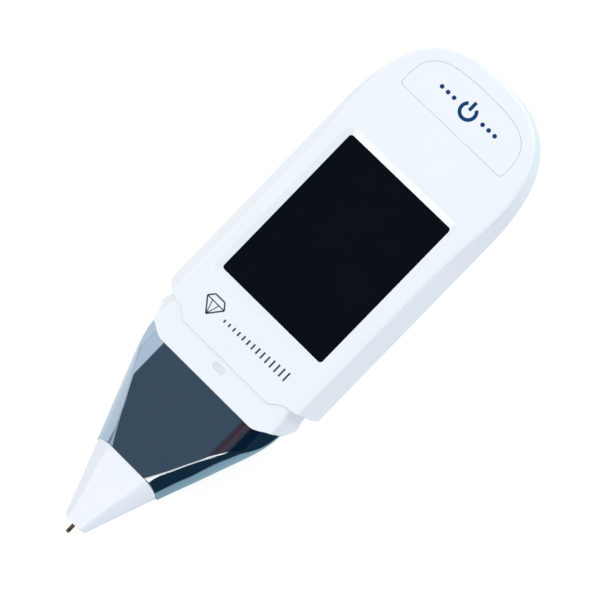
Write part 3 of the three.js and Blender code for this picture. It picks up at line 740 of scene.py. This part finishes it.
# name, colour, roughness, stretch of the grain, grain scale, bump depth, colour variation
METALS = [
    ("probe_copper", (0.20, 0.135, 0.09), 0.34, (1.0, 9.0, 1.0), 900, 8e-6, 0.2),
    ("brass_turned", (0.72, 0.52, 0.22), 0.3, (1.0, 10.0, 1.0), 700, 6e-6),
    ("winding", (0.42, 0.17, 0.06), 0.38, (1.0, 14.0, 1.0), 600, 1.5e-5, 0.2),
    ("steel", (0.60, 0.61, 0.63), 0.28),
    ("spring_steel", (0.52, 0.53, 0.55), 0.25),
    ("leaf_bronze", (0.70, 0.50, 0.26), 0.3, (8.0, 1.0, 1.0), 500),
    ("cell_silver", (0.62, 0.64, 0.67), 0.42, None, 320, 2.5e-5, 0.06),
]
PLATE_GREY = ("plate_grey", (0.62, 0.64, 0.66), 0.45, (14.0, 1.0, 1.0), 260, 4e-6, 0.05)
# name, colour, roughness, colour variation, grain scale, bump depth, clear coat
OUTER_PLASTICS = [
    ("shell_white", (0.845, 0.885, 0.935), 0.34, 0.012, 3200, 3e-6),
    ("tip_white", (0.768, 0.802, 0.866), 0.40, 0.02, 2800, 5e-6),
    ("window_clear", (0.765, 0.81, 0.865), 0.18, 0.05, 1500, 2e-6, 0.5),
]
PRINT_BLUE = ("print_blue", (0.001, 0.045, 0.165), 0.42, 0.1, 4000, 2e-6)
PRINT_GREY = ("print_grey", (0.035, 0.060, 0.085), 0.45, 0.1, 4000, 2e-6)
INNER_PLASTICS = [
    ("bush_white", (0.88, 0.87, 0.84), 0.5, 0.03),
    ("carrier_plastic", (0.70, 0.68, 0.61), 0.5, 0.05, 1800, 8e-6),
    ("rubber_black", (0.018, 0.019, 0.021), 0.75, 0.2, 1500, 1e-5),
    ("foam_black", (0.022, 0.024, 0.026), 0.95, 0.35, 900, 9e-5),
    ("part_black", (0.014, 0.015, 0.017), 0.42, 0.2, 1800, 6e-6),
    ("panel_dark", (0.010, 0.013, 0.018), 0.2, 0.1, 1200, 2e-6, 0.3),
    ("frame_pale", (0.78, 0.78, 0.75), 0.5, 0.04),
    ("flex_amber", (0.46, 0.22, 0.06), 0.3, 0.12, 900, 4e-6, 0.4),
    ("lead_red", (0.42, 0.02, 0.022), 0.42, 0.1),
    ("lead_black", (0.012, 0.012, 0.014), 0.42, 0.2),
    ("lead_yellow", (0.58, 0.36, 0.03), 0.42, 0.1),
    ("lead_blue", (0.03, 0.16, 0.42), 0.42, 0.1),
    ("bead", (0.03, 0.045, 0.10), 0.15, 0.1, 900, 2e-6, 0.8),
    ("lamp", (0.86, 0.83, 0.60), 0.3, 0.05, 900, 4e-6, 0.4),
]


def make_materials():
    for row in OUTER_PLASTICS:
        moulded(*row)
    moulded(*PRINT_BLUE).set({"Specular IOR Level": 0.22})
    moulded(*PRINT_GREY)
    plated_nose()
    lens_black()
    for row in METALS:
        metal(*row)
    for row in INNER_PLASTICS:
        moulded(*row)
    metal(*PLATE_GREY)
    board_green()


def dress(target, slot, body, *replaced):
    """Gives a piece its material, the body it rides on and the CAD pieces it stands for."""
    target.data.materials.clear()
    target.data.materials.append(MATERIALS[slot])
    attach(target, body)
    if replaced:
        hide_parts(*replaced)


# ------------------------------------------------------------------ case covers
def cover(name, sign):
    shell = case_volume(name, CASE_START, sign, SPLIT, FACE_Z, fillet=FACE_FILLET)
    boolean(shell, tailward_of(CASE_EDGE, CASE_EDGE_ROUND), "INTERSECT")
    boolean(shell, case_volume("hollow", HOLLOW_START, sign, -0.8, CEILING, wall=WALL))
    port = round_rect(*PORT_SIZE)
    boolean(shell, loft("port", [[(x, y, z) for x, z in port] for y in PORT_Y]))
    return shell


def build_front():
    front = cover("front_shell", 1)
    boolean(front, plate("pocket", GLASS_POCKET, SCREEN_Y, 8.0, LENS_TOP + 0.1))
    # the screen opening flares outwards from just below the face
    layers = []
    for z, flare in ((9.0, 0.0), (9.98, 0.0), (HALF_D, SCREEN_BEVEL), (12.0, SCREEN_BEVEL * 2)):
        outline = round_rect(SCREEN_W + 2 * flare, SCREEN_L + 2 * flare, SCREEN_CORNER + flare)
        layers.append((z, [(x, y + SCREEN_Y) for x, y in outline]))
    boolean(front, stack("screen", layers))
    soften(front, width=0.22, angle=20)
    boolean(front, prism("keyhole", key_outline(0.0), 8.4, 12.0))
    soften(front, width=0.06, segments=2, angle=60, merge=False)
    dress(front, "shell_white", "housing", "front_cover")


def build_rear():
    rear = cover("rear_shell", -1)
    for x, y in SCREWS:
        boolean(rear, upright_rod("post", x, y, POST_R, -10.0, -0.4), "UNION")
        boolean(rear, lathe("well", SCREW_WELL, 48, (x, y)))
        boolean(rear, upright_rod("bore", x, y, SCREW_BORE_R, -8.0, 1.0, 24))
    boolean(rear, plate("label", LABEL_RECESS, LABEL_Y, -12, -10.6))
    soften(rear, width=0.22, angle=20)
    dress(rear, "shell_white", "housing", "rear_cover")


# ------------------------------------------------------------------ collar, nose, tip
def build_collar():
    sections = [(y, COLLAR_Z, smoothed(COLLAR_FLAT, y, 1.0), smoothed(COLLAR_SIDE, y, 0.8))
                for y in stations(52.0, 69.3, 0.6)]
    collar = hex_skin("collar_shell", sections, corner=1.0)
    boolean(collar, tailward_of(COLLAR_EDGE, COLLAR_EDGE_ROUND), "INTERSECT")
    boolean(collar, tailward_of(CASE_EDGE, CASE_EDGE_ROUND, shift=-0.05))
    boolean(collar, hex_skin("neck", COLLAR_NECK, corner=0.6), "UNION")
    boolean(collar, hex_skin("flange", COLLAR_FLANGE, corner=0.6), "UNION")
    boolean(collar, hex_skin("bore", COLLAR_BORE, corner=0.5))
    boolean(collar, hex_skin("bore2", COLLAR_REAR_BORE, corner=0.5))
    boolean(collar, plate("window", WINDOW_HOLE, WINDOW_Y, 7, 12))
    soften(collar, width=0.12)
    dress(collar, "shell_white", "housing", "nose_collar")


def build_window():
    window = plate("window_light", WINDOW_SIZE, WINDOW_Y, 8.6, 10.55)
    soften(window, width=0.06)
    dress(window, "window_clear", "housing", "indicator_window")


def build_nose():
    nose = skin("nose_shell", [(y, nose_quarter(y)) for y in stations(22.2, 60.6, 0.6)])
    boolean(nose, tailward_of(COLLAR_EDGE, COLLAR_EDGE_ROUND, back=90, shift=-0.12))
    boolean(nose, tipward_of_joint(0.06))
    # the tongue reaches back under the collar
    tongue = [(y, 7.8, min(15.0, 6 + (y - 30) * 0.5), min(21.0, smoothed(NOSE_SIDE, y) - 2.2))
              for y in stations(45.0, 59.4, 2.4)]
    boolean(nose, hex_skin("tongue", tongue, corner=0.6), "UNION")
    boolean(nose, skin("bore", [(y, nose_quarter(y, 3.3)) for y in stations(29.0, 72.0, 3.0)]))
    boolean(nose, lathe("mouth", NOSE_MOUTH, 64))
    soften(nose, width=0.16, angle=38, merge=False)
    dress(nose, "plated_nose", "housing", "chrome_nose")


def build_tip():
    # y, inset: a rounded rim at the small end, then the plain cone
    rows = [(TIP_START, 0.28), (2.78, 0.12), (2.95, 0.0)]
    rows += [(y, 0.0) for y in stations(3.4, 28.0, 1.0)]
    tip = skin("tip_shell", [(y, tip_quarter(y, inset)) for y, inset in rows])
    boolean(tip, tipward_of_joint(0.0), "INTERSECT")
    boolean(tip, lathe("spigot", TIP_SPIGOT, 64), "UNION")
    boolean(tip, lathe("bore", TIP_BORE, 48))
    soften(tip, width=0.06, segments=2, angle=40, merge=False)
    dress(tip, "tip_white", "housing", "tip_cone")


# ------------------------------------------------------------------ probe pin and its spring
def build_pin():
    profile = [(0.0, PIN_BACK), (0.0, PIN_END)]
    for k in range(1, 8):
        angle = math.radians(90 * k / 7)
        profile.append((PIN_R * math.sin(angle), PIN_END + PIN_DOME * (1 - math.cos(angle))))
    groove_r = PIN_R - PIN_GROOVE
    profile += [(PIN_R, 0.9), (groove_r, 0.95), (groove_r, 1.08), (PIN_R, 1.13),
                (PIN_R, PIN_BACK)]
    pin = lathe("probe_rod", profile, 40)
    soften(pin, width=0)
    dress(pin, "probe_copper", "probe", "probe_pin")


def build_spring():
    """Return spring, between the holder and the retainer."""
    turns, coil_r, wire_r, start_y, end_y = 5.5, 2.15, 0.28, 22.3, 29.6
    steps, wire_sides = 264, 12
    pitch = (end_y - start_y) / (2 * math.pi * turns)      # rise per radian
    wire_angles = [2 * math.pi * k / wire_sides for k in range(wire_sides)]
    rings = []
    for i in range(steps + 1):
        angle = 2 * math.pi * turns * i / steps
        cosine, sine = math.cos(angle), math.sin(angle)
        along = Vector((-coil_r * sine, pitch, coil_r * cosine)).normalized()
        outwards = Vector((cosine, 0, sine))
        sideways = along.cross(outwards)
        centre = Vector((coil_r * cosine, start_y + (end_y - start_y) * i / steps,
                         coil_r * sine))
        rings.append([
            tuple(centre + (outwards * math.cos(turn) + sideways * math.sin(turn)) * wire_r)
            for turn in wire_angles])
    spring = loft("return_spring", rings)
    for face in spring.data.polygons:
        face.use_smooth = len(face.vertices) == 4
    spring.data.materials.append(MATERIALS["spring_steel"])
    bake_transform(spring)
    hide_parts("probe_spring")


# ------------------------------------------------------------------ display lens and key
def build_glass():
    glass = plate("display_glass", GLASS_SIZE, SCREEN_Y, GLASS_BOTTOM, LENS_TOP)
    soften(glass, width=0.15)
    dress(glass, "lens_black", "housing", "display_lens")


def build_key():
    key = stack("key_cap", [(z, key_outline(grow)) for z, grow in KEY_LAYERS])
    boolean(key, upright_rod("stem", 0, 156, 2.2, 7.1, 8.3), "UNION")
    soften(key, width=0)
    dress(key, "shell_white", "key", "power_key")


# ------------------------------------------------------------------ printed marks
def flat_print(name, outlines, z, slot, body):
    """Thin raised shapes, set slightly into the surface at z."""
    vertices, faces = [], []
    for outline in outlines:
        base, size = len(vertices), len(outline)
        vertices += [(x, y, z - 0.01) for x, y in outline]
        vertices += [(x, y, z + 0.02) for x, y in outline]
        faces.append(tuple(base + i for i in reversed(range(size))))
        faces.append(tuple(base + size + i for i in range(size)))
        for i in range(size):
            i2 = (i + 1) % size
            faces.append((base + i, base + i2, base + size + i2, base + size + i))
    dress(new_object(name, vertices, faces), slot, body)


def ring_mark(x, y, inner_r, outer_r, start, end):
    return arc(x, y, outer_r, start, end, 40) + arc(x, y, inner_r, start, end, 40)[::-1]


def bar(x0, y0, x1, y1, width):
    along = Vector((x1 - x0, y1 - y0)).normalized()
    side = Vector((-along.y, along.x)) * width / 2
    return [(x0 + side.x, y0 + side.y), (x0 - side.x, y0 - side.y),
            (x1 - side.x, y1 - side.y), (x1 + side.x, y1 + side.y)]


def dot(x, y, radius):
    return arc(x, y, radius, 0, 360, 28)[:-1]


def print_key():
    """A plain power symbol between two rows of dots."""
    y = 155.7
    marks = [ring_mark(0, y - 0.3, 1.75, 2.75, 130, 410), bar(0, y + 0.1, 0, y + 2.9, 0.95)]
    marks += [dot(side * x, y - 0.2, 0.62) for side in (-1, 1) for x in (5.2, 7.4, 9.6)]
    flat_print("key_symbol", marks, KEY_TOP, "print_blue", "key")


def print_case():
    """A plain cut-stone outline and a row of rising bars."""
    gem_x, gem_y = -12.7, 72.0
    corners = [(-3.1, 0.9), (-1.7, 2.6), (1.7, 2.6), (3.1, 0.9), (0, -3.0)]
    # start, end, width
    lines = [(start, end, 0.42) for start, end in zip(corners, corners[1:] + corners[:1])]
    lines += [((-3.1, 0.9), (3.1, 0.9), 0.3), ((-1.2, 0.9), (0, -2.8), 0.26),
              ((1.2, 0.9), (0, -2.8), 0.26)]
    gem = [bar(gem_x + x0, gem_y + y0, gem_x + x1, gem_y + y1, width)
           for (x0, y0), (x1, y1), width in lines]
    flat_print("case_symbol", gem, FACE_Z, "print_grey", "housing")

    first_x, pitch, foot_y, rise = -7.6, 1.7, 70.6, 0.15
    scale = [bar(first_x + pitch * k, foot_y, first_x + pitch * k, 71.5 + rise * k, 0.5)
             for k in range(14)]
    flat_print("case_scale", scale, FACE_Z, "print_grey", "housing")


# ------------------------------------------------------------------ fixings seen from the back
def build_screws():
    w, l = SLOT_HALF_W, SLOT_HALF_L
    cross = [(l, -w), (l, w), (w, w), (w, l), (-w, l), (-w, w),
             (-l, w), (-l, -w), (-w, -w), (-w, -l), (w, -l), (w, -w)]
    for number, (x, y) in enumerate(SCREWS, 1):
        screw = lathe(f"case_screw_head_{number}", SCREW_BODY, 40, (x, y))
        boolean(screw, prism("slot", [(x + px, y + py) for px, py in cross], -9.5, -8.13))
        soften(screw, width=0.03, segments=2, angle=35, merge=False)
        dress(screw, "steel", "housing", f"case_screw_{number}")


def build_label():
    label = plate("rating_blank", LABEL_SIZE, LABEL_Y, -10.92, -10.66)
    soften(label, width=0.05, segments=2)
    dress(label, "plate_grey", "housing", "rating_plate")


def dress_cad_nodes():
    """Materials for the CAD pieces that stay as they are."""
    slot_of = {part["node"]: part["material_slot"] for part in frame["record"]["subparts"]}
    for name, node in frame["nodes"].items():
        if node.hide_render:
            continue
        node.data.materials.clear()
        node.data.materials.append(MATERIALS[slot_of[name]])


# ------------------------------------------------------------------ camera
ROLL = math.radians(45.74)                    # how far the device is turned in the frame
# the view's own axes: near the device's across and length, and towards the camera
VIEW_ACROSS = Vector((0.99277, -0.00156, -0.11999))
VIEW_ALONG = Vector((-0.00235, 0.99947, -0.03243))
VIEW_BACK = Vector((0.11997, 0.03247, 0.99225))
EYE = place(66.17, 106.17, 534.56)


def build_camera(scene):
    lens = bpy.data.cameras.new("camera")
    lens.sensor_fit = "HORIZONTAL"
    lens.sensor_width = 36.0
    lens.lens = 120.0
    lens.clip_start = 0.01
    lens.clip_end = 5
    camera = bpy.data.objects.new("camera", lens)
    scene.collection.objects.link(camera)
    right = VIEW_ALONG * math.cos(ROLL) + VIEW_ACROSS * math.sin(ROLL)
    up = VIEW_ALONG * math.sin(ROLL) - VIEW_ACROSS * math.cos(ROLL)
    rows = zip(right, up, VIEW_BACK, EYE)
    camera.matrix_world = Matrix((*rows, (0, 0, 0, 1)))
    scene.camera = camera


# ------------------------------------------------------------------ floor
FLOOR_HALF, FLOOR_DROP = 1.5, 0.00002         # metres
FLOOR_GLOW, FLOOR_COLOUR = 0.65, (0.87, 0.86, 0.98)
FLOOR_SEEN = 0.74                             # glow as the camera sees it
FLOOR_GREY = (0.35, 0.35, 0.35)
# colours that the plating mirrors
PLAIN = (0.090, 0.131, 0.165)
DEEP = (0.013, 0.040, 0.062)
NAVY = (0.004, 0.018, 0.040)
RUSSET = (0.127, 0.070, 0.080)
PALE = (0.88, 0.936, 0.955)
SIDE = (0.38, 0.55, 0.595)
SEAM = (0.33, 0.39, 0.44)
NONE, FULL = (0.0, 0.0, 0.0), (1.0, 1.0, 1.0)
# The mirrored table over this stretch of x in metres: position, colour
TABLE_X = (-0.20, 0.06)
TABLE_STOPS = [(0.0, PALE), (0.15, PALE), (0.17, SEAM), (0.470, SEAM), (0.485, PALE),
               (0.751, PALE), (0.788, SIDE), (0.901, SIDE), (0.912, DEEP), (1.0, DEEP)]


def floor_material():
    """Pale, gently lit from within so that it stays an even backdrop."""
    material = bpy.data.materials.new("floor")
    material.use_nodes = True
    tree = material.node_tree
    tree.nodes.clear()
    geometry = add_node(tree, "NewGeometry")
    position = add_node(tree, "SeparateXYZ", {0: geometry["Position"]})
    path = add_node(tree, "LightPath")
    # in mirrors, the table is pale on one side and falls away on the other
    table = ramp(tree, map_range(tree, position["X"], *TABLE_X), TABLE_STOPS)
    mirrored = add_node(tree, "Emission", {"Color": table})[0]
    diffuse = add_node(tree, "BsdfDiffuse", {"Color": FLOOR_GREY})[0]
    glow = add_node(tree, "Emission", {"Color": FLOOR_COLOUR, "Strength": FLOOR_GLOW})[0]
    seen = add_node(tree, "Emission", {"Color": FULL, "Strength": FLOOR_SEEN})[0]
    lit = mix_shader(tree, path["Is Camera Ray"], glow, seen)
    plain = add_node(tree, "AddShader", {0: diffuse, 1: lit})[0]
    surface = mix_shader(tree, path["Is Glossy Ray"], plain, mirrored)
    # seen from underneath it is left out, so that the back can be looked at
    under = multiply(tree, geometry["Backfacing"], path["Is Camera Ray"])
    clear = add_node(tree, "BsdfTransparent")[0]
    add_node(tree, "OutputMaterial", {"Surface": mix_shader(tree, under, surface, clear)})
    return material


def build_floor(scene):
    material = floor_material()
    mesh = bpy.data.meshes.new("floor")
    z = CAD_BOX[0][2] - FLOOR_DROP
    corners = [(x * FLOOR_HALF, y * FLOOR_HALF, z)
               for x, y in ((-1, -1), (1, -1), (1, 1), (-1, 1))]
    mesh.from_pydata(corners, [], [(0, 1, 2, 3)])
    floor = bpy.data.objects.new("floor", mesh)
    mesh.materials.append(material)
    scene.collection.objects.link(floor)


# ------------------------------------------------------------------ world
DOME, DOME_COLOUR = 0.86, (0.872, 0.924, 0.985)
# Sky from left to right: position, colour
# level with the device: pale, plain overhead, a warm band and then navy to the right
LEVEL_SKY = [(0.0, PALE), (0.192, PALE), (0.210, PLAIN), (0.500, PLAIN),
             (0.545, (0.078, 0.074, 0.100)), (0.63, (0.070, 0.044, 0.055)),
             (0.67, (0.074, 0.046, 0.057)), (0.72, RUSSET), (0.76, RUSSET),
             (0.81, (0.070, 0.065, 0.080)), (0.85, (0.066, 0.060, 0.078)),
             (0.89, NAVY), (1.0, NAVY)]
# ahead of the probe: pale, plain overhead and deep to the right
AHEAD_SKY = [(0.0, PALE), (0.192, PALE), (0.210, PLAIN), (0.52, PLAIN), (0.60, DEEP),
             (1.0, DEEP)]
AHEAD_Y = (-0.26, -0.20)                      # where the one sky gives way to the other
# A narrow light between the two, seen only along the creases to the right
STRIP_ALONG = [(0.0, NONE), (0.355, NONE), (0.365, FULL), (0.425, FULL), (0.435, NONE),
               (1.0, NONE)]
STRIP_ACROSS = [(0.0, NONE), (0.55, NONE), (0.58, FULL), (0.875, FULL), (0.895, NONE),
                (1.0, NONE)]
STRIP_LIGHT = (2.3, 2.1, 1.9)
# Soft round patches: direction, inner and outer radius in degrees, colour
PATCHES = [
    ((-0.66, -0.50, 0.56), 5, 8, DEEP),
    ((-0.44, -0.38, 0.81), 4, 7, (1.3, 1.4, 1.5)),
    ((0.38, -0.42, 0.82), 9, 12, (2.1, 1.8, 1.5)),
    ((0.67, -0.69, 0.27), 15, 17, (2.3, 2.1, 1.9)),
    ((-0.12, -0.80, 0.58), 10, 14, (9.5, 8.8, 8.2)),
]


def build_world(scene):
    """An even white dome for the plastic; mirrors see a dim studio with a few soft lights."""
    world = bpy.data.worlds.new("studio")
    scene.world = world
    world.use_nodes = True
    tree = world.node_tree
    tree.nodes.clear()
    view = add_node(tree, "TexCoord")["Generated"]
    direction = add_node(tree, "SeparateXYZ", {0: view})
    across = map_range(tree, direction["X"], -1.0, 1.0)
    level = ramp(tree, across, LEVEL_SKY)
    ahead = ramp(tree, across, AHEAD_SKY)
    sky = mix_colour(tree, map_range(tree, direction["Y"], *AHEAD_Y, smooth=True), ahead, level)
    along = map_range(tree, direction["Y"], -1.0, 1.0)
    strip = multiply(tree, ramp(tree, along, STRIP_ALONG), ramp(tree, across, STRIP_ACROSS))
    sky = mix_colour(tree, strip, sky, STRIP_LIGHT)
    for centre, inner, outer, colour in PATCHES:
        nearness = add_node(tree, "VectorMath", {0: view, 1: Vector(centre).normalized()},
                            operation="DOT_PRODUCT")["Value"]
        patch = map_range(tree, nearness, math.cos(math.radians(outer)),
                          math.cos(math.radians(inner)), smooth=True)
        sky = mix_colour(tree, patch, sky, colour)
    studio = add_node(tree, "Background", {"Color": sky})[0]
    dome = add_node(tree, "Background", {"Color": DOME_COLOUR, "Strength": DOME})[0]
    glossy = add_node(tree, "LightPath")["Is Glossy Ray"]
    add_node(tree, "OutputWorld", {"Surface": mix_shader(tree, glossy, dome, studio)})


# ------------------------------------------------------------------ lights
# name, place and diameter in metres, power in watts, colour
LIGHTS = [
    ("key_light", (-0.75, -0.10, 0.45), 0.7, 1.35, (1, 0.74, 0.51)),
    ("probe_light", (0.15, -0.85, 0.45), 0.8, 2.2, (1, 0.97, 0.88)),
    ("tail_light", (0.15, 0.80, 0.45), 0.8, 2.8, (1, 0.97, 0.83)),
    ("rim_light", (0.030, 0.145, 0.020), 0.04, 0.0045, (1, 1, 1)),
]
LIGHT_TARGET = Vector((0, 0, 0.01))


def build_lights(scene):
    for name, location, size, power, colour in LIGHTS:
        light = bpy.data.lights.new(name, "AREA")
        light.shape = "DISK"
        light.size = size
        light.energy = power
        light.color = colour
        holder = bpy.data.objects.new(name, light)
        scene.collection.objects.link(holder)
        holder.location = location
        aim = LIGHT_TARGET - Vector(location)
        holder.rotation_euler = aim.to_track_quat("-Z", "Y").to_euler()
        holder.visible_glossy = False
        holder.visible_camera = False


# ------------------------------------------------------------------ build
make_materials()
build_front()
build_rear()
build_collar()
build_window()
build_nose()
build_tip()
build_pin()
build_spring()
build_glass()
build_key()
print_key()
print_case()
build_screws()
build_label()
dress_cad_nodes()

scene = bpy.context.scene
build_camera(scene)
build_floor(scene)
build_world(scene)
build_lights(scene)
scene.view_settings.view_transform = "Standard"
scene.view_settings.look = "None"
scene.view_settings.exposure = 0.0
scene.view_settings.gamma = 1.0
